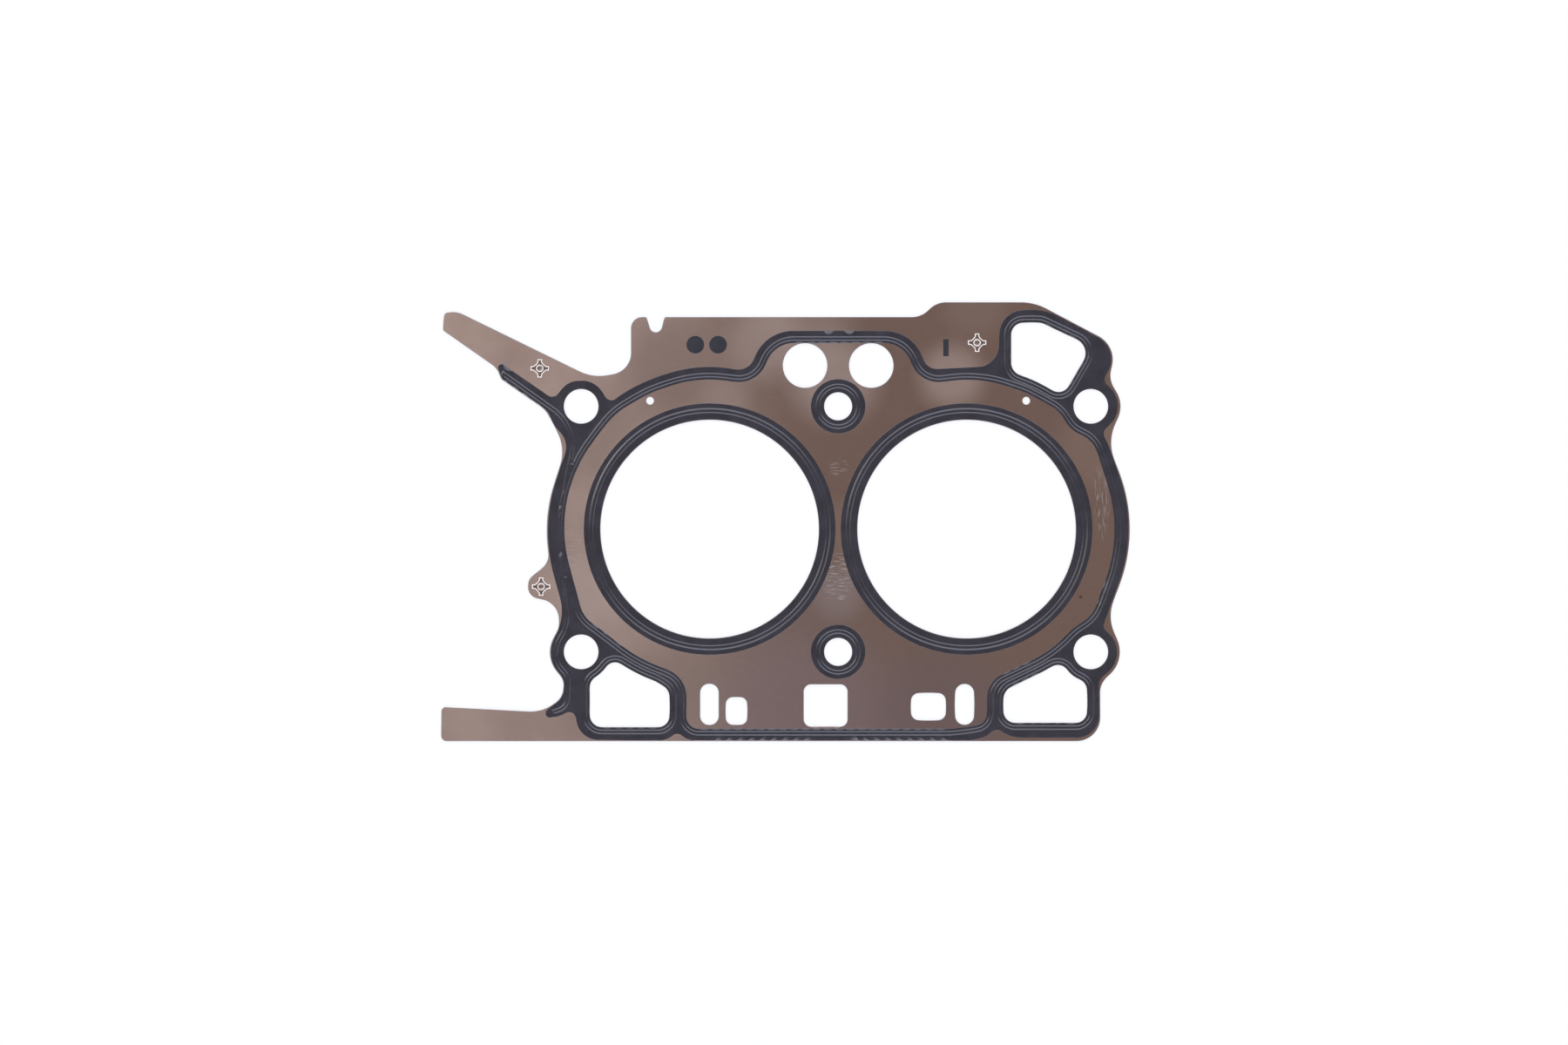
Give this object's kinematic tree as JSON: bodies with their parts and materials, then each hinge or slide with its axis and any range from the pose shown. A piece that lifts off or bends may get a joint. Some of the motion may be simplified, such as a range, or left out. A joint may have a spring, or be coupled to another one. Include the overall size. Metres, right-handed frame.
{
  "type": "cylinder head gasket",
  "caption": "Flat multi-layer steel cylinder-head gasket with embossed beads, rubber-printed sealing tracks, cylinder bores, bolt holes and coolant passages.",
  "frame": {"origin": "midway between the two bore axes, on the plane that the lower bead crests rest on", "axes": "+X along the line through the bore axes, away from the long arms; +Y towards the paired round coolant holes; +Z out of the printed face that carries the marks"},
  "size_m": [0.3028, 0.1931, 0.0014],
  "materials": {
    "sheet_steel": "rolled stainless spring steel with a thin warm-tinted coating, satin",
    "carrier_steel": "cold-rolled zinc-coated steel, satin",
    "track_elastomer": "screen-printed fluoroelastomer, matt",
    "stopper_steel": "bright rolled stainless steel",
    "eyelet_steel": "bright pressed steel",
    "mark_ink": "screen-printed, matt"
  },
  "bodies": {
    "root": {"carrier_layer": "carrier_steel", "upper_layer": "sheet_steel", "lower_layer": "sheet_steel", "upper_track_coat": "track_elastomer", "upper_bore_coat_left": "track_elastomer", "upper_bore_coat_right": "track_elastomer", "upper_bolt_coat_low": "track_elastomer", "upper_bolt_coat_high": "track_elastomer", "lower_track_coat": "track_elastomer", "lower_bore_coat_left": "track_elastomer", "lower_bore_coat_right": "track_elastomer", "lower_bolt_coat_low": "track_elastomer", "lower_bolt_coat_high": "track_elastomer", "stopper_ring_left": "stopper_steel", "stopper_ring_right": "stopper_steel", "upper_arm_eyelet": "eyelet_steel", "side_lobe_eyelet": "eyelet_steel", "top_edge_eyelet": "eyelet_steel", "printed_dot_left": "mark_ink", "printed_dot_right": "mark_ink", "printed_bar": "mark_ink"}
  },
  "joints": []
}
